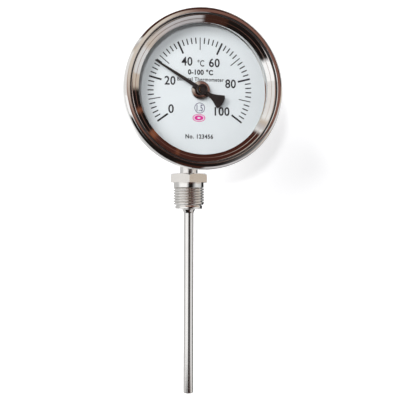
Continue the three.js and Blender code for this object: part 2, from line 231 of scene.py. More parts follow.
def painted(name, dark, light, roughness, grain_scale, grain_depth):
    """Paint, print, rubber or plastic: a mottled colour with a fine surface grain."""
    material, nodes, shader = new_material(name)
    place = mm_coords(nodes)
    cloud = nodes.add("ShaderNodeTexNoise", {"Vector": place, "Scale": 0.07, "Detail": 3})
    colour = nodes.ramp(cloud.outputs["Fac"], [(0.35, dark), (0.65, light)])
    nodes.tree.links.new(colour, shader.inputs["Base Color"])
    grain = nodes.add("ShaderNodeTexNoise", {"Vector": place, "Scale": grain_scale, "Detail": 2})
    gloss = nodes.add("ShaderNodeMapRange", {
        "Value": grain.outputs["Fac"], 3: roughness * 0.85, 4: min(1, roughness * 1.15)})
    nodes.tree.links.new(gloss.outputs[0], shader.inputs["Roughness"])
    bump = nodes.add("ShaderNodeBump", {"Height": grain.outputs["Fac"], "Distance": grain_depth * MM})
    nodes.tree.links.new(bump.outputs[0], shader.inputs["Normal"])
    return material


def glass_material():
    """Clear flat window: light passes straight through and a little is mirrored, more at a slant.
    The faint haze is dust and wiping marks."""
    material = bpy.data.materials.new("window_glass")
    material.use_nodes = True
    material.node_tree.nodes.clear()
    nodes = Nodes(material.node_tree)
    clear = nodes.add("ShaderNodeBsdfTransparent", {"Color": rgba((0.985, 0.99, 0.99))})
    mirror = nodes.add("ShaderNodeBsdfGlossy", {"Color": rgba(1.0), "Roughness": 0.02})
    haze = nodes.add("ShaderNodeTexNoise", {"Vector": mm_coords(nodes), "Scale": 0.06, "Detail": 5})
    share = nodes.add("ShaderNodeFresnel", {"IOR": 1.3})
    veil = nodes.add("ShaderNodeMapRange", {"Value": haze.outputs["Fac"], 1: 0.4, 2: 0.8, 3: 0.0, 4: 0.01})
    factor = nodes.math("ADD", share.outputs[0], veil.outputs[0], clamp=True)
    mixed = nodes.add("ShaderNodeMixShader", {0: factor, 1: clear.outputs[0], 2: mirror.outputs[0]})
    nodes.add("ShaderNodeOutputMaterial", {"Surface": mixed.outputs[0]})
    return material


STEEL = (0.80, 0.79, 0.78)
MAT = {
    "mirror": steel("polished_steel", STEEL, 0.07, True, 2.2, 0.002, around_head=True),
    "drawn": steel("drawn_steel", (0.68, 0.675, 0.67), 0.13, True, 3.0, 0.006, around_head=True),
    "satin": steel("satin_steel", (0.80, 0.785, 0.765), 0.12, True, 5.0, 0.004),
    "brushed": steel("brushed_steel", (0.70, 0.69, 0.68), 0.26, False, 2.5, 0.012),
    "stem": steel("stem_steel", (0.80, 0.785, 0.77), 0.13, True, 3.0, 0.004),
    "spring": steel("spring_steel", (0.46, 0.45, 0.44), 0.35, False, 3.0, 0.01),
    "bimetal": steel("bimetal_strip", (0.52, 0.47, 0.42), 0.4, False, 3.0, 0.01),
    "brass": brass_material(),
    "rubber": painted("black_rubber", (0.012, 0.012, 0.013), (0.03, 0.03, 0.03), 0.75, 3.0, 0.02),
    "polymer": painted("guide_polymer", (0.72, 0.71, 0.68), (0.80, 0.79, 0.76), 0.5, 3.0, 0.01),
    "dial": painted("dial_white", (0.73, 0.765, 0.79), (0.75, 0.785, 0.81), 0.5, 6.0, 0.004),
    "ink": painted("dial_print", (0.010, 0.011, 0.016), (0.02, 0.022, 0.03), 0.6, 5.0, 0.004),
    "violet": painted("violet_print", (0.06, 0.05, 0.13), (0.08, 0.065, 0.16), 0.6, 5.0, 0.004),
    "mark": painted("mark_print", (0.60, 0.02, 0.24), (0.70, 0.04, 0.32), 0.6, 5.0, 0.004),
    "black": painted("pointer_black", (0.006, 0.006, 0.007), (0.012, 0.012, 0.013), 0.42, 6.0, 0.004),
    "glass": glass_material(),
}


# ---- mesh helpers -------------------------------------------------------------------------------
def finish_mesh(name, bm, sharp_angle=28):
    """Turns a bmesh in millimetres into an object: clean, outward, smooth but for real edges."""
    bmesh.ops.remove_doubles(bm, verts=bm.verts, dist=1e-5)
    bmesh.ops.recalc_face_normals(bm, faces=bm.faces)
    limit = math.radians(sharp_angle)
    for face in bm.faces:
        face.smooth = True
    for edge in bm.edges:
        edge.smooth = len(edge.link_faces) == 2 and edge.calc_face_angle(0) < limit
    bmesh.ops.scale(bm, vec=(MM, MM, MM), verts=bm.verts)
    mesh = bpy.data.meshes.new(name)
    bm.to_mesh(mesh)
    bm.free()
    obj = bpy.data.objects.new(name, mesh)
    bpy.context.scene.collection.objects.link(obj)
    return obj


def rounded(corners, steps=4):
    """A closed outline from corners (a, b) or (a, b, radius); corners with a radius become arcs."""
    outline = []
    for i, corner in enumerate(corners):
        here = Vector(corner[:2])
        if len(corner) < 3:
            outline.append(here)
            continue
        before = Vector(corners[i - 1][:2]) - here
        after = Vector(corners[(i + 1) % len(corners)][:2]) - here
        half = before.angle(after) / 2
        reach = min(corner[2] / math.tan(half), 0.49 * before.length, 0.49 * after.length)
        radius = reach * math.tan(half)
        u, v = before.normalized(), after.normalized()
        centre = here + (u + v).normalized() * (radius / math.sin(half))
        start, end = here + u * reach - centre, here + v * reach - centre
        turn = start.angle_signed(end)
        for k in range(steps + 1):
            outline.append(centre + Matrix.Rotation(-turn * k / steps, 2) @ start)
    return outline


def revolve_bm(profile, around_head, segments):
    """Solid of revolution about the head's axis (profile in radius, depth) or the stem's axis
    (profile in radius, height)."""
    bm = bmesh.new()
    rings = []
    for point in profile:
        ring = []
        for k in range(segments):
            a = 2 * math.pi * k / segments
            c, s = math.cos(a) * point[0], math.sin(a) * point[0]
            where = (c, BEZEL_Y + point[1], HEAD_Z + s) if around_head else (c, s, point[1])
            ring.append(bm.verts.new(where))
        rings.append(ring)
    count = len(profile)
    for i in range(count):
        j = (i + 1) % count
        if profile[i][0] < 1e-6 and profile[j][0] < 1e-6:
            continue
        for k in range(segments):
            n = (k + 1) % segments
            bm.faces.new((rings[i][k], rings[i][n], rings[j][n], rings[j][k]))
    return bm


def turned(name, corners, around_head=True, segments=None, steps=4):
    profile = rounded(corners, steps)
    return finish_mesh(name, revolve_bm(profile, around_head, segments or FINE))


def place(obj, body, mat, *nodes):
    """Gives a piece its material and body, and hides the CAD nodes that it stands for."""
    obj.data.materials.clear()
    obj.data.materials.append(MAT[mat])
    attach(obj, body)
    if nodes:
        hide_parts(*nodes)
    return obj


def prism_bm(outline, depth0, depth1, to_xyz):
    """Straight prism: the outline in the plane's two coordinates, between two depths."""
    bm = bmesh.new()
    near = [bm.verts.new(to_xyz(a, b, depth0)) for a, b in outline]
    far = [bm.verts.new(to_xyz(a, b, depth1)) for a, b in outline]
    count = len(outline)
    bm.faces.new(near)
    bm.faces.new(far)
    for i in range(count):
        j = (i + 1) % count
        bm.faces.new((near[i], near[j], far[j], far[i]))
    bmesh.ops.recalc_face_normals(bm, faces=bm.faces)
    return bm


def on_dial(a, b, depth):
    """A point of the dial's plane: a to the right, b up from the centre, depth behind the bezel."""
    return (a, BEZEL_Y + depth, HEAD_Z + b)


def boolean(base, others, operation):
    """Joins to base, or cuts from it, the other objects, which are then removed."""
    for other in others:
        modifier = base.modifiers.new("join", "BOOLEAN")
        modifier.operation = operation
        modifier.solver = "EXACT"
        modifier.object = other
    apply_modifiers(base)
    for other in others:
        bpy.data.objects.remove(other)
    return base


def apply_modifiers(obj):
    bpy.context.view_layer.update()
    mesh = bpy.data.meshes.new_from_object(obj.evaluated_get(bpy.context.evaluated_depsgraph_get()))
    obj.modifiers.clear()
    obj.data = mesh


def soften(obj, width, sharp_angle=14, segments=2):
    """Small machined bevel on every real edge, then smooth shading."""
    bevel = obj.modifiers.new("bevel", "BEVEL")
    bevel.width = width * MM
    bevel.segments = segments
    bevel.limit_method = "ANGLE"
    bevel.angle_limit = math.radians(sharp_angle)
    bevel.use_clamp_overlap = True
    apply_modifiers(obj)
    return crease(obj, sharp_angle)


def crease(obj, sharp_angle, soft_zone=None):
    """Marks real edges sharp and shades the rest smooth; a soft zone in height keeps rolled forms."""
    bm = bmesh.new()
    bm.from_mesh(obj.data)
    for face in bm.faces:
        face.smooth = True
    for edge in bm.edges:
        z = edge.verts[0].co.z / MM
        limit = 70 if soft_zone and soft_zone[0] < z < soft_zone[1] else sharp_angle
        edge.smooth = len(edge.link_faces) == 2 and edge.calc_face_angle(0) < math.radians(limit)
    bm.to_mesh(obj.data)
    bm.free()
    return obj


# ---- case, bezel and window ---------------------------------------------------------------------
def build_case():
    can = turned("case_shell", [
        (CAN_R, 5.5), (CAN_R, 23, 3.2), (6.5, 23), (6.5, 21.8), (CAN_R - 1.2, 21.8, 2.2),
        (CAN_R - 1.2, 5.5),
    ], steps=8)
    place(can, "head", "drawn", "case_can")

    bezel = turned("bezel", [
        (50.7, 8, 0.3), (BEZEL_R, 7.6, 0.2), (BEZEL_R, -1.1, 1.4), (49.4, -2.3, 0.9), (47.5, -2.45, 0.3),
        (47.2, -2.1, 0.1), (47.2, -1.3), (46.6, -1.3), (46.6, -1.45, 0.05), (46.0, -2.0, 0.3),
        (45.6, -1.8, 0.4), (43.85, -0.57, 0.05), (43.6, -0.55, 0.05), (42.0, 0.55, 0.4),
        (LIP_R, 0.85, 0.12), (LIP_R, 1.6, 0.15), (42.6, 1.5, 0.6), (45.8, -0.5, 0.6), (46.9, -0.4, 0.3),
        (48.9, -0.9, 0.6), (49.5, 0.2, 0.6), (49.5, 8, 0.1),
    ], steps=6)
    place(bezel, "head", "mirror", "bezel_ring")
    # Black ring in the bezel's groove: painted shade, darkening the crevice where the groove's walls shade
    # each other.
    groove_shade = turned("bezel_groove_shade", [
        (46.65, -1.72, 0.06), (47.15, -1.72, 0.06), (47.15, -1.32), (46.65, -1.32),
    ], steps=2)
    place(groove_shade, "head", "rubber")

    gasket = turned("window_seal", [
        (48.1, 2, 0.3), (48.1, 5.2, 0.3), (43.6, 5.2, 0.2), (43.6, 4.6, 0.1), (46.3, 4.6),
        (46.3, 2.3), (43.6, 2.3, 0.1), (43.6, 2, 0.1),
    ], steps=3)
    place(gasket, "head", "rubber", "window_gasket")

    glass = turned("window", [(0, 2.55), (46, 2.55), (46, 4.35), (0, 4.35)])
    place(glass, "head", "glass", "window_glass")

    spacer = turned("rim_ring", [
        (46.8, 5.8, 0.1), (46.8, 12.7, 0.1), (DIAL_VISIBLE_R, 12.7, 0.1), (DIAL_VISIBLE_R, 12.1, 0.15),
        (43.9, 11.9, 0.2), (44.3, 10.6, 0.3), (45.0, 10.2, 0.3), (45.4, 8.2, 0.3), (45.9, 7.6, 0.3),
        (45.9, 5.8, 0.1),
    ], steps=4)
    place(spacer, "head", "mirror", "dial_spacer_ring")


# ---- dial, its print and the bush ---------------------------------------------------------------
PRINT_T = 0.04


def scale_angle(value):
    """Angle of a scale value, in radians, anticlockwise from 3 o'clock."""
    return math.radians(90 - (value - SCALE_TOP_VALUE) * SCALE_SWEEP / SCALE_LAST)


def add_bar(bm, value, outer, inner, width):
    """One straight scale mark as a thin printed bar."""
    a = scale_angle(value)
    out, side = Vector((math.cos(a), math.sin(a))), Vector((-math.sin(a), math.cos(a)))
    corners = [out * r + side * s * width / 2 for r, s in ((outer, -1), (outer, 1), (inner, 1), (inner, -1))]
    front = [bm.verts.new(on_dial(c.x, c.y, DIAL_DEPTH - PRINT_T)) for c in corners]
    back = [bm.verts.new(on_dial(c.x, c.y, DIAL_DEPTH - 0.005)) for c in corners]
    bm.faces.new(front)
    bm.faces.new(back)
    for i in range(4):
        j = (i + 1) % 4
        bm.faces.new((front[i], front[j], back[j], back[i]))


def build_scale():
    bars = {"scale_minor_marks": [], "scale_middle_marks": [], "scale_main_marks": []}
    for value in range(0, SCALE_LAST + 1, 2):
        if value % 20 == 0:
            bars["scale_main_marks"].append((value, SCALE_OUTER_R + 0.1, SCALE_OUTER_R - 8.2, 1.15))
        elif value % 10 == 0:
            bars["scale_middle_marks"].append((value, SCALE_OUTER_R, SCALE_OUTER_R - 7.9, 0.58))
        else:
            bars["scale_minor_marks"].append((value, SCALE_OUTER_R, SCALE_OUTER_R - 3.9, 0.74))
    for name, marks in bars.items():
        bm = bmesh.new()
        for mark in marks:
            add_bar(bm, *mark)
        place(finish_mesh(name, bm), "head", "ink")


def lettering(name, text, centre, width, height, weight=0.0, spacing=1.0, mat="ink"):
    """Printed characters on the dial, in Blender's own font, fitted to a width and a height."""
    curve = bpy.data.curves.new(name, "FONT")
    curve.body = text
    curve.align_x, curve.align_y = "CENTER", "CENTER"
    curve.size = height / 0.7
    curve.offset = weight
    curve.space_character = spacing
    curve.extrude = PRINT_T / 2
    curve.resolution_u = 4
    holder = bpy.data.objects.new(name + "_curve", curve)
    bpy.context.scene.collection.objects.link(holder)
    bpy.context.view_layer.update()
    mesh = bpy.data.meshes.new_from_object(holder.evaluated_get(bpy.context.evaluated_depsgraph_get()))
    bpy.data.objects.remove(holder)
    low = [min(v.co[i] for v in mesh.vertices) for i in (0, 1)]
    high = [max(v.co[i] for v in mesh.vertices) for i in (0, 1)]
    scale = (width / (high[0] - low[0]), height / (high[1] - low[1]))
    for vertex in mesh.vertices:
        x = (vertex.co.x - (low[0] + high[0]) / 2) * scale[0] + centre[0]
        y = (vertex.co.y - (low[1] + high[1]) / 2) * scale[1] + centre[1]
        vertex.co = on_dial(x, y, DIAL_DEPTH - PRINT_T / 2 - 0.003 - vertex.co.z)
    mesh.transform(Matrix.Scale(MM, 4))
    obj = bpy.data.objects.new(name, mesh)
    bpy.context.scene.collection.objects.link(obj)
    return place(obj, "head", mat)


def printed_ring(name, centre, radii, width, mat, squash=1.0):
    """A thin printed ring or oval."""
    bm = bmesh.new()
    segments = 64
    loops = []
    for r, depth in ((0, 0), (1, 0), (1, 1), (0, 1)):
        loop = []
        for k in range(segments):
            a = 2 * math.pi * k / segments
            reach = radii + (r - 0.5) * width
            x, z = centre[0] + reach * math.cos(a), centre[1] + reach * math.sin(a) * squash
            loop.append(bm.verts.new(on_dial(x, z, DIAL_DEPTH - PRINT_T if depth else DIAL_DEPTH - 0.005)))
        loops.append(loop)
    for i in range(4):
        for k in range(segments):
            n = (k + 1) % segments
            bm.faces.new((loops[i][k], loops[i][n], loops[(i + 1) % 4][n], loops[(i + 1) % 4][k]))
    return place(finish_mesh(name, bm), "head", mat)


def build_dial():
    plate = turned("dial", [
        (4.9, DIAL_DEPTH), (46.5, DIAL_DEPTH), (46.5, DIAL_DEPTH + DIAL_T), (4.9, DIAL_DEPTH + DIAL_T),
    ])
    place(plate, "head", "dial", "dial_plate")
    build_scale()
    numbers = {0: (-18.9, -12.0), 20: (-19.6, 6.0), 40: (-8.6, 18.6), 60: (9.4, 18.2),
               80: (20.2, 5.0), 100: (14.6, -13.0)}
    height, two_digits = 5.7, 7.1
    widths = {0: 3.6, 100: 9.9}
    for value, centre in numbers.items():
        width = widths.get(value, two_digits)
        lettering(f"number_{value}", str(value), centre, width, height, weight=0.16, spacing=1.06)
    lettering("unit", "°C", (0.5, 17.7), 4.4, 4.3, weight=0.09)
    lettering("range_text", "0-100 °C", (0.3, 11.9), 16.5, 3.6, weight=0.2, spacing=1.08)
    lettering("kind_text", "Bimetal Thermometer", (0.4, 7.3), 30.5, 2.5, weight=0.08, spacing=1.12)
    lettering("batch_text", "No. 123456", (-0.4, -29.4), 18.2, 2.9, weight=0.14, spacing=1.12)
    lettering("class_figure", "1.5", (-0.2, -11.1), 4.0, 4.2, weight=0.1, spacing=1.1, mat="violet")
    printed_ring("class_ring", (-0.2, -11.1), 3.25, 0.4, "violet")
    printed_ring("mark_ring", (-0.7, -17.5), 3.9, 0.6, "mark", squash=0.6)
    printed_ring("mark_inner_ring", (-0.7, -17.5), 2.0, 1.9, "mark", squash=0.55)
    bush_front = DIAL_DEPTH - 2.8
    bush = turned("dial_bushing", [
        (1.5, bush_front), (6.1, bush_front, 0.35), (6.1, DIAL_DEPTH - 0.3), (4.6, DIAL_DEPTH - 0.3),
        (4.6, 27.7), (1.5, 27.7),
    ], segments=96)
    place(bush, "head", "mirror", "dial_bush")


# ---- pointer ------------------------------------------------------------------------------------
def needle_outline():
    """Half outline of the pointer, upright, mirrored to the other side: blade, waist and fan tail."""
    right = [(0.48, POINTER_LEN), (1.3, 2.5), (1.7, 0), (1.35, -3.2), (1.2, -5)]
    for k in range(1, 6):
        t = k / 6
        right.append((1.2 + 3.4 * t ** 1.7, -5 - 8.6 * t))
    for k in range(6):
        a = math.radians(-10 + 50 * k / 5)
        right.append((4.0 + 0.75 * math.cos(a), -14.35 - 0.75 * math.sin(a)))
    arc_r = TAIL_LEN
    for k in range(4):
        a = math.radians(15.5 * (1 - (k + 1) / 4))
        right.append((arc_r * math.sin(a), -arc_r * math.cos(a)))
    return right + [(-x, y) for x, y in reversed(right) if abs(x) > 1e-6]


def crescent(name, inner, outer, depth, start, end):
    """Part of a flat ring lying in the hub's recess, pointed at both ends, angles in degrees."""
    bm = bmesh.new()
    steps = 24
    rows = []
    for k in range(steps + 1):
        a = math.radians(start + (end - start) * k / steps)
        half = (outer - inner) / 2 * math.sqrt(max(0.0, math.sin(math.pi * k / steps))) + 0.01
        mid = (outer + inner) / 2
        near, far, back = mid - half, mid + half, depth + 0.1
        rows.append([
            bm.verts.new(on_dial(r * math.cos(a), r * math.sin(a), d))
            for r, d in ((near, depth), (far, depth - 0.12), (far, back), (near, back))
        ])
    for a, b in zip(rows, rows[1:]):
        for i in range(4):
            j = (i + 1) % 4
            bm.faces.new((a[i], a[j], b[j], b[i]))
    bm.faces.new(rows[0])
    bm.faces.new(rows[-1])
    return finish_mesh(name, bm)


def build_pointer():
    turn = math.radians(POINTER_REST)

    def to_xyz(a, b, depth):
        x, z = a * math.cos(turn) - b * math.sin(turn), a * math.sin(turn) + b * math.cos(turn)
        return on_dial(x, z, depth)

    bm = prism_bm(needle_outline(), 7.2, 7.8, to_xyz)
    needle = finish_mesh("needle", bm)
    hole = turned("needle_hole", [(0, 5), (1.55, 5), (1.55, 9), (0, 9)], segments=48)
    boolean(needle, [hole], "DIFFERENCE")
    soften(needle, 0.08)
    place(needle, "pointer", "black", "pointer_needle")
    hub = turned("needle_hub", [
        (0, 6.0), (2.3, 6.0, 0.1), (2.45, 5.2, 0.15), (3.45, 5.2, 0.3), (3.45, 6.9, 0.1), (0, 6.9),
    ], segments=96)
    place(hub, "pointer", "black", "pointer_hub")
    # Brass crescent in the hub's recess: a painted highlight, standing for a glint on the recess's rim.
    place(crescent("hub_highlight_crescent", 1.75, 2.2, 5.9, 135, 235), "pointer", "brass")
    collar = turned("needle_collar", [
        (1.55, 8.1), (2.2, 8.1, 0.1), (2.2, 9.9, 0.1), (1.55, 9.9),
    ], segments=64)
    place(collar, "pointer", "brass", "pointer_collar")
    high = node_box("pointer_spindle")[1]
    spindle = turned("spindle", [
        (0, 6.95), (1.25, 6.95, 0.2), (1.25, high.y - BEZEL_Y, 0.1), (0, high.y - BEZEL_Y),
    ], segments=48)
    place(spindle, "pointer", "brass", "pointer_spindle")


# ---- stem, neck and nut -------------------------------------------------------------------------
def build_stem():
    collar_top = node_box("process_nut")[0].z - 0.3
    stem = turned("stem", [
        (0, STEM_TIP), (STEM_R, STEM_TIP, 0.55), (STEM_R, -20.4, 3.0), (4.35, -18.4, 0.6),
        (4.35, collar_top, 0.1), (STEM_R, collar_top), (STEM_R, STEM_TOP), (2.75, STEM_TOP),
        (2.75, STEM_TIP + 1.5), (0, STEM_TIP + 1.5),
    ], around_head=False, segments=96, steps=6)
    place(stem, "stem", "stem", "stem_tube")
    neck = turned("neck", [
        (NECK_R, -11.7, 0.2), (NECK_R, 44.7, 0.2), (4.6, 44.7), (4.6, -5), (3.6, -6.5), (3.6, -11.7),
    ], around_head=False, segments=96)
    place(neck, "stem", "stem", "neck_tube")


def hex_outline(across_flats, turn_degrees):
    r = across_flats / math.sqrt(3)
    angles = [math.radians(turn_degrees + 60 * k) for k in range(6)]
    return [(r * math.cos(a), r * math.sin(a)) for a in angles]


def thread_bm(bottom, top):
    """Right-hand V thread as one skin that fades in at both ends, between two heights."""
    bm = bmesh.new()
    around, rows = 96, int((top - bottom) / THREAD_PITCH * 20)
    depth = THREAD_MAJOR - THREAD_MINOR
    rings = []
    for i in range(rows + 1):
        z = bottom + (top - bottom) * i / rows
        fade = min(1, (z - bottom) / 0.35) * min(1, (top - z) / 0.5)
        ring = []
        for k in range(around):
            a = 2 * math.pi * k / around
            phase = (z / THREAD_PITCH - a / (2 * math.pi)) % 1
            crest = min(1.0, max(0.0, 1.55 - abs(phase - 0.5) * 3.4))
            crest = crest * crest * (3 - 2 * crest)
            r = THREAD_MINOR + depth * crest * max(0.0, fade)
            ring.append(bm.verts.new((r * math.cos(a), r * math.sin(a), z)))
        rings.append(ring)
    for i in range(rows):
        for k in range(around):
            n = (k + 1) % around
            bm.faces.new((rings[i][k], rings[i][n], rings[i + 1][n], rings[i + 1][k]))
    bm.faces.new(list(reversed(rings[0])))
    bm.faces.new(rings[-1])
    return bm


def build_nut():
    hexagon = finish_mesh("nut", prism_bm(
        hex_outline(HEX_AF, HEX_TURN), 0, HEX_TOP, lambda a, b, depth: (a, b, depth)))
    cone = turned("nut_cone", [
        (0, -3), (19, -3), (19, HEX_TOP - 3.6), (11.3, HEX_TOP + 0.05), (0, HEX_TOP + 0.05),
    ], around_head=False, segments=128)
    boolean(hexagon, [cone], "INTERSECT")
    soften(hexagon, 0.12)
    shoulder = turned("nut_shoulder", [
        (0, 0.6), (10.15, 0.6), (10.15, -3.5, 0.25), (9.3, -3.5), (0, -3.5),
    ], around_head=False, segments=128)
    thread = finish_mesh("nut_thread", thread_bm(-14.9, -3.3), sharp_angle=60)
    lead_in = turned("nut_lead_in", [
        (0, -14.1), (9.8, -14.1), (10.3, -14.35), (10.3, -14.65), (9.6, -15.15), (0, -15.15),
    ], around_head=False, segments=128)
    pilot = turned("nut_pilot", [
        (0, -14.9), (8.4, -14.9), (8.4, -15.6), (9.15, -15.6, 0.1), (9.15, PILOT_END, 0.35), (0, PILOT_END),
    ], around_head=False, segments=128)
    boolean(hexagon, [shoulder, thread, lead_in, pilot], "UNION")
    bore = turned("nut_bore", [
        (0, PILOT_END - 1), (3.7, PILOT_END - 1), (3.7, -12), (NECK_R + 0.3, -12),
        (NECK_R + 0.3, HEX_TOP + 1), (0, HEX_TOP + 1),
    ], around_head=False, segments=96)
    boolean(hexagon, [bore], "DIFFERENCE")
    crease(hexagon, 12, soft_zone=(-14.1, -3.6))
    place(hexagon, "nut", "satin", "process_nut")


# ---- adjustable rear joint ----------------------------------------------------------------------
def block(name, low, high):
    """Cutting or joining block between two corners."""
    outline = [(low[0], low[1]), (high[0], low[1]), (high[0], high[1]), (low[0], high[1])]
    return finish_mesh(name, prism_bm(outline, low[2], high[2], lambda a, b, depth: (a, b, depth)))


def round_bar(name, axis, r, start, end, cross=(0, 0), segments=64):
    """Round bar along X, Y or Z between two places; cross is where its centre line lies."""
    outline = [(r * math.cos(2 * math.pi * k / segments), r * math.sin(2 * math.pi * k / segments))
               for k in range(segments)]
    ways = {
        "x": lambda a, b, depth: (depth, cross[0] + a, cross[1] + b),
        "y": lambda a, b, depth: (cross[0] + a, depth, cross[1] + b),
        "z": lambda a, b, depth: (cross[0] + a, cross[1] + b, depth),
    }
    return finish_mesh(name, prism_bm(outline, start, end, ways[axis]))


ARM_IN = 7.3
ARM_OUT = 10.8
PIVOT_R = 2.5


def build_fork():
    low, high = node_box("tilt_fork")
    flange_y = low.y + 7.4
    end_r = 8
    on_axis = (0, HEAD_Z)
    fork = round_bar("fork", "y", 14, flange_y, flange_y + 3.4, on_axis, 128)
    waist = block("fork_waist", (-ARM_OUT, flange_y + 1, HEAD_Z - end_r), (ARM_OUT, 0, HEAD_Z + end_r))
    ends = round_bar("fork_ends", "x", end_r, -ARM_OUT, ARM_OUT, on_axis, 96)
    boolean(waist, [ends], "UNION")
    slot = block("fork_slot", (-ARM_IN, -12, HEAD_Z - 20), (ARM_IN, 20, HEAD_Z + 20))
    boolean(waist, [slot], "DIFFERENCE")
    boolean(fork, [waist], "UNION")
    pivot_bore = round_bar("fork_pivot_bore", "x", PIVOT_R + 0.3, -20, 20, on_axis, 48)
    boolean(fork, [pivot_bore], "DIFFERENCE")
    soften(fork, 0.45, segments=3)
    thread_r = 6.2
    spigot_profile = []
    turn = flange_y - 1.0
    while turn > low.y + 0.6:
        spigot_profile += [(thread_r, turn), (thread_r - 0.45, turn - 0.5)]
        turn -= 1.0
    root = [(0, flange_y + 0.5), (thread_r, flange_y + 0.5)]
    ring = root + spigot_profile + [(thread_r - 0.5, low.y), (0, low.y)]
    spigot = turned("fork_spigot", [(r, y - BEZEL_Y) for r, y in ring], segments=64)
    boolean(fork, [spigot], "UNION")
    bore = turned("fork_bore", [(0, 16), (4.9, 16), (4.9, 28), (2.6, 28), (2.6, 43), (0, 43)], segments=48)
    boolean(fork, [bore], "DIFFERENCE")
    crease(fork, 14)
    place(fork, "head", "brushed", "tilt_fork")
    seal = turned("seal", [
        (6.5, 23.3, 0.2), (6.5, 24.3, 0.2), (13.4, 24.3, 0.45), (13.4, 23.3, 0.45),
    ], segments=96)
    place(seal, "head", "rubber", "back_seal")


def build_knuckle():
    low, high = node_box("knuckle")
    barrel = round_bar("knuckle_barrel", "x", 7.2, low.x, high.x, (0, HEAD_Z), 96)
    shank = round_bar("knuckle_shank", "z", 7.0, low.z, HEAD_Z, segments=96)
    boolean(barrel, [shank], "UNION")
    front = block("knuckle_front", (-3.8, -12, HEAD_Z - 3.8), (3.8, 3.6, HEAD_Z + 12))
    below = block("knuckle_below", (-3.8, -12, HEAD_Z - 7.5), (3.8, 0, HEAD_Z))
    boolean(barrel, [front], "DIFFERENCE")
    boolean(barrel, [below], "DIFFERENCE")
    for name, axis, r, start, end, cross in (
        ("knuckle_well", "z", 3.6, 41, HEAD_Z, (0, 0)), ("knuckle_socket", "z", NECK_R + 0.3, 30, 45, (0, 0)),
        ("knuckle_pivot_bore", "x", PIVOT_R + 0.3, -20, 20, (0, HEAD_Z)),
    ):
        boolean(barrel, [round_bar(name, axis, r, start, end, cross)], "DIFFERENCE")
    soften(barrel, 0.35, segments=3)
    place(barrel, "stem", "satin", "knuckle")


def build_screws():
    for side, name in ((-1, "left"), (1, "right")):
        low, high = node_box(f"pivot_screw_{name}")
        outer = high.x if side > 0 else -low.x
        tip = low.x if side > 0 else -high.x
        seat = outer - 3
        profile = rounded([
            (0, tip), (PIVOT_R, tip, 0.4), (PIVOT_R, seat), (4.6, seat, 0.15), (4.6, outer, 0.7),
            (2.6, outer, 0.1), (2.3, outer - 0.35), (0, outer - 0.35),
        ])
        bm = bmesh.new()
        segments = 64
        rings = []
        for r, x in profile:
            knurl = r > 4.2 and seat + 0.4 < x < outer - 0.3
            ring = []
            for k in range(segments):
                a = 2 * math.pi * k / segments
                reach = r - (0.08 if knurl and k % 2 else 0)
                ring.append(bm.verts.new((side * x, reach * math.cos(a), HEAD_Z + reach * math.sin(a))))
            rings.append(ring)
        for near, far in zip(rings, rings[1:]):
            for k in range(segments):
                n = (k + 1) % segments
                bm.faces.new((near[k], near[n], far[n], far[k]))
        screw = finish_mesh(f"screw_{name}", bm)
        socket = finish_mesh(f"screw_socket_{name}", prism_bm(
            hex_outline(4, 0), seat + 1.2, outer + 1, lambda a, b, depth: (side * depth, a, HEAD_Z + b)))
        boolean(screw, [socket], "DIFFERENCE")
        crease(screw, 24)
        place(screw, "stem", "brushed", f"pivot_screw_{name}")

        low, high = node_box(f"pivot_washer_{name}")
        inner = low.x if side > 0 else -high.x
        cup = rounded([
            (PIVOT_R + 0.3, inner + 0.3, 0.05), (4.9, inner, 0.1), (4.9, inner + 0.5, 0.15),
            (PIVOT_R + 0.3, inner + 0.8, 0.05),
        ])
        bm = bmesh.new()
        rings = []
        for r, x in cup:
            rings.append([bm.verts.new((
                side * x, r * math.cos(2 * math.pi * k / 64), HEAD_Z + r * math.sin(2 * math.pi * k / 64)))
                for k in range(64)])
        for i, near in enumerate(rings):
            far = rings[(i + 1) % len(rings)]
            for k in range(64):
                n = (k + 1) % 64
                bm.faces.new((near[k], near[n], far[n], far[k]))
        place(finish_mesh(f"washer_{name}", bm), "stem", "spring", f"pivot_washer_{name}")


def build_coupling():
    """Close-wound wire spring round a quarter circle, from the rod up to the head's spindle."""
    bend_r = 7.6
    coil_r, wire_r, turns = 1.55, 0.33, 15
    steps, around = turns * 24, 8
    bm = bmesh.new()
    rings = []

    def centre(t):
        a, b = t * math.pi / 2, 2 * math.pi * turns * t
        reach = bend_r + coil_r * math.cos(b)
        return Vector((
            coil_r * math.sin(b), -bend_r + reach * math.cos(a), HEAD_Z - bend_r + reach * math.sin(a)))

    for i in range(steps + 1):
        t = 0.012 + 0.976 * i / steps
        here = centre(t)
        along = (centre(t + 1e-4) - centre(t - 1e-4)).normalized()
        a = t * math.pi / 2
        middle = Vector((0, -bend_r + bend_r * math.cos(a), HEAD_Z - bend_r + bend_r * math.sin(a)))
        out = (here - middle).normalized()
        across = along.cross(out).normalized()
        ring = []
        for k in range(around):
            b = 2 * math.pi * k / around
            ring.append(bm.verts.new(here + (out * math.cos(b) + across * math.sin(b)) * wire_r))
        rings.append(ring)
    for near, far in zip(rings, rings[1:]):
        for k in range(around):
            n = (k + 1) % around
            bm.faces.new((near[k], near[n], far[n], far[k]))
    bm.faces.new(rings[0])
    bm.faces.new(rings[-1])
    place(finish_mesh("coupling_spring", bm, sharp_angle=60), "stem", "spring", "flex_coupling")


# ---- light, floor and world ---------------------------------------------------------------------
def area_light(name, location, target, size, power, colour=(1, 1, 1)):
    """A round soft light; the metal mirrors the room and not the light itself."""
    data = bpy.data.lights.new(name, "AREA")
    data.shape = "DISK"
    data.size = size
    data.energy = power
    data.color = colour
    light = bpy.data.objects.new(name, data)
    bpy.context.scene.collection.objects.link(light)
    light.location = location
    light.rotation_mode = "QUATERNION"
    light.rotation_quaternion = (Vector(target) - Vector(location)).to_track_quat("-Z", "Y")
    light.visible_glossy = False
    light.visible_camera = False
    return light


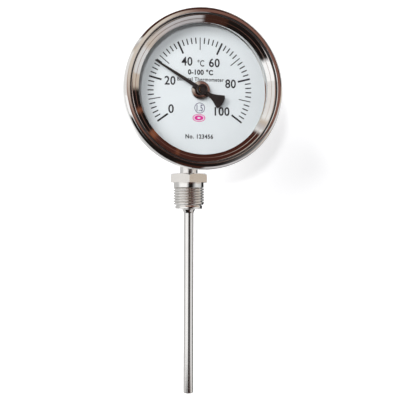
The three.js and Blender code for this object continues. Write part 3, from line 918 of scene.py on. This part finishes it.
def build_floor():
    """The pale surface that the instrument lies on, behind it. Seen from behind it is clear. In the metal's
    reflections it shows painted bands set by place: darker bands of painted shade and a brighter, glowing
    band of painted highlight.
    """
    y = 0.060
    mesh = bpy.data.meshes.new("floor")
    corners = [(-3, y, -3), (3, y, -3), (3, y, 3), (-3, y, 3)]
    mesh.from_pydata(corners, [], [(0, 1, 2, 3)])
    floor = bpy.data.objects.new("floor", mesh)
    bpy.context.scene.collection.objects.link(floor)
    material = bpy.data.materials.new("floor_white")
    material.use_nodes = True
    material.node_tree.nodes.clear()
    nodes = Nodes(material.node_tree)
    lit = nodes.add("ShaderNodeBsdfDiffuse", {"Color": rgba((0.62, 0.62, 0.625))})
    glow = nodes.add("ShaderNodeEmission", {"Color": rgba((0.55, 0.55, 0.555))})
    white = nodes.add("ShaderNodeAddShader", {0: lit.outputs[0], 1: glow.outputs[0]})
    clear = nodes.add("ShaderNodeBsdfTransparent")
    place = nodes.add("ShaderNodeSeparateXYZ", {0: nodes.add("ShaderNodeTexCoord").outputs["Object"]})
    span = nodes.add("ShaderNodeMapRange", {
        "Value": place.outputs["X"], 1: -0.5, 2: 0.5, 3: 0.0, 4: 1.0}).outputs[0]
    # Painted reflection: tones by place that only mirror rays see, darker bands for painted shade and a band
    # above white for a painted highlight.
    painted_reflection_low = nodes.ramp(span, [
        (0.0, 0.72), (0.3, 0.66), (0.49, 0.62), (0.50, 0.6), (0.53, 0.35), (0.56, 0.03), (0.75, 0.03),
        (0.85, 0.5), (1.0, 0.8)])
    painted_reflection_high = nodes.ramp(span, [
        (0.0, 0.85), (0.425, 0.95), (0.431, 1.0), (0.437, 1.3), (0.455, 1.3), (0.47, 0.75), (0.53, 0.7),
        (0.56, 0.95), (1.0, 0.95)])
    height = nodes.add("ShaderNodeMapRange", {"Value": place.outputs["Z"], 1: 0.005, 2: 0.03}).outputs[0]
    painted_reflection_tone = nodes.mix(height, painted_reflection_low, painted_reflection_high)
    painted_reflection_glow = nodes.add("ShaderNodeEmission", {"Color": painted_reflection_tone})
    path = nodes.add("ShaderNodeLightPath")
    by_ray = nodes.add("ShaderNodeMixShader", {
        0: path.outputs["Is Glossy Ray"], 1: white.outputs[0], 2: painted_reflection_glow.outputs[0]})
    side = nodes.add("ShaderNodeNewGeometry").outputs["Backfacing"]
    mixed = nodes.add("ShaderNodeMixShader", {0: side, 1: by_ray.outputs[0], 2: clear.outputs[0]})
    nodes.add("ShaderNodeOutputMaterial", {"Surface": mixed.outputs[0]})
    mesh.materials.append(material)


def build_world():
    """The room that the metal mirrors: rings round the direction that a flat front face mirrors, and
    plain tones low down for the stem. Other light is plain, and so is what the camera sees."""
    world = bpy.data.worlds.new("studio")
    bpy.context.scene.world = world
    world.use_nodes = True
    world.node_tree.nodes.clear()
    nodes = Nodes(world.node_tree)
    direction = nodes.add("ShaderNodeTexCoord").outputs["Generated"]
    mirrored_view = Vector((-VIEW_BACK.x, VIEW_BACK.y, VIEW_BACK.z))
    right = Vector((0, 0, 1)).cross(mirrored_view).normalized()
    up = mirrored_view.cross(right)

    def along(axis):
        pair = {0: direction, 1: tuple(axis)}
        return nodes.add("ShaderNodeVectorMath", pair, operation="DOT_PRODUCT").outputs["Value"]

    front, side, rise = along(mirrored_view), along(right), along(up)
    off_axis = nodes.math("DIVIDE", nodes.math("ARCCOSINE", front), math.pi)
    clock = nodes.math("FRACT", nodes.math("DIVIDE", nodes.math("ARCTAN2", rise, side), 2 * math.pi))
    bright_brown, dark_brown, black = (0.24, 0.115, 0.09), (0.055, 0.022, 0.015), (0.012, 0.009, 0.008)
    tan, red_brown = (0.68, 0.58, 0.48), (0.07, 0.022, 0.016)
    grey, silver, white = (0.62, 0.60, 0.61), (0.93, 0.91, 0.89), (1.0, 1.0, 0.98)
    cream, ember = (0.80, 0.72, 0.63), (0.26, 0.09, 0.045)
    outer_ring = nodes.ramp(clock, [
        (0.0, tan), (0.022, tan), (0.03, black), (0.06, black), (0.066, ember), (0.074, black),
        (0.106, black), (0.11, ember), (0.118, ember), (0.126, red_brown),
        (0.166, red_brown), (0.170, ember), (0.174, red_brown), (0.362, red_brown),
        (0.37, white), (0.38, grey), (0.395, tan), (0.405, white), (0.425, silver), (0.50, silver),
        (0.51, white), (0.525, white), (0.545, black), (0.70, black),
        (0.71, dark_brown), (0.768, dark_brown), (0.778, grey), (0.86, grey), (0.945, tan),
        (0.985, cream), (1.0, tan),
    ])
    inner_ring = nodes.ramp(clock, [
        (0.0, tan), (0.012, tan), (0.02, dark_brown), (0.10, dark_brown), (0.13, black), (0.22, black),
        (0.26, dark_brown), (0.30, tan), (0.40, cream), (0.42, tan), (0.47, ember), (0.485, ember),
        (0.50, white), (0.52, white), (0.54, black), (0.68, black), (0.74, dark_brown), (0.80, black),
        (0.88, dark_brown), (0.97, dark_brown), (0.985, tan), (1.0, tan),
    ])
    level = nodes.ramp(nodes.math("ADD", rise, 0.5), [(0.49, dark_brown), (0.53, bright_brown)])
    upper_left = nodes.ramp(clock, [(0.0, 0.0), (0.25, 0.0), (0.30, 1.0), (0.40, 1.0), (0.47, 0.0)])
    away = nodes.ramp(off_axis, [(0.0, 0.0), (0.03, 0.0), (0.075, 1.0)])
    disc = nodes.mix(nodes.math("MULTIPLY", upper_left, away), level, cream)
    near = nodes.ramp(off_axis, [(0.0, 0.0), (0.135, 0.0), (0.155, 1.0)])
    middle = nodes.ramp(off_axis, [(0.0, 0.0), (0.27, 0.0), (0.31, 1.0)])
    inner = nodes.mix(near, disc, nodes.mix(middle, inner_ring, outer_ring))
    far = nodes.ramp(off_axis, [(0.0, 0.0), (0.52, 0.0), (0.58, 1.0)])
    beyond = nodes.ramp(nodes.math("ADD", rise, 0.5), [(0.0, 0.10), (0.08, 0.12), (0.2, 0.85), (0.6, 1.0)])
    round_view = nodes.math("DIVIDE", nodes.math(
        "ARCTAN2", along(Vector((0, 0, 1)).cross(VIEW_BACK)), along(VIEW_BACK)), 2 * math.pi)
    low_room = nodes.ramp(nodes.math("ADD", round_view, 0.5), [
        (0.15, 0.8), (0.25, 0.95), (0.33, 1.2), (0.455, 1.2), (0.475, 0.8), (0.495, 0.4), (0.507, black),
        (0.578, black), (0.61, 0.3), (0.65, 0.8), (0.68, 0.95), (0.76, 0.78), (0.85, 0.65)])
    from_below = nodes.ramp(nodes.math("ADD", rise, 0.5), [
        (0.16, 0.0), (0.22, 1.0), (0.482, 1.0), (0.496, 0.0)])
    mirrored = nodes.mix(from_below, nodes.mix(far, inner, beyond), low_room)
    mirror_light = nodes.add("ShaderNodeBackground", {"Color": mirrored, "Strength": 1.0})
    plain = nodes.add("ShaderNodeBackground", {"Color": rgba((0.97, 0.97, 0.98)), "Strength": 0.27})
    backdrop = nodes.add("ShaderNodeBackground", {"Color": rgba((0.93, 0.93, 0.935)), "Strength": 1.0})
    path = nodes.add("ShaderNodeLightPath")
    lit = nodes.add("ShaderNodeMixShader", {
        0: path.outputs["Is Glossy Ray"], 1: plain.outputs[0], 2: mirror_light.outputs[0]})
    mixed = nodes.add("ShaderNodeMixShader", {
        0: path.outputs["Is Camera Ray"], 1: lit.outputs[0], 2: backdrop.outputs[0]})
    nodes.add("ShaderNodeOutputWorld", {"Surface": mixed.outputs[0]})


def build_lights():
    """A broad window-like light from the upper left and a small one near the camera."""
    target = (0, 0, 0)
    area_light("window_light", (-0.76, -0.74, 0.36), target, 0.8, 21.5, colour=(1.0, 0.99, 0.98))
    area_light("near_light", (-0.35, -1.16, 0.10), target, 0.07, 5.4)


build_case()
build_dial()
build_pointer()
build_stem()
build_nut()
build_fork()
build_knuckle()
build_screws()
build_coupling()
build_floor()
build_world()
build_lights()

CARRIED = {
    "dial_lock_nut": "brass", "case_nut": "brushed", "case_washer": "spring",
    "upper_guide": "polymer", "lower_guide": "polymer", "drive_rod": "stem", "rod_ferrule": "brass",
    "bimetal_coil": "bimetal", "coil_anchor": "stem", "coil_clamp": "brass", "spindle_ferrule": "brass",
}
for node, mat in CARRIED.items():
    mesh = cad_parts[node].data
    mesh.materials.clear()
    mesh.materials.append(MAT[mat])

bpy.context.scene.view_settings.view_transform = "Standard"
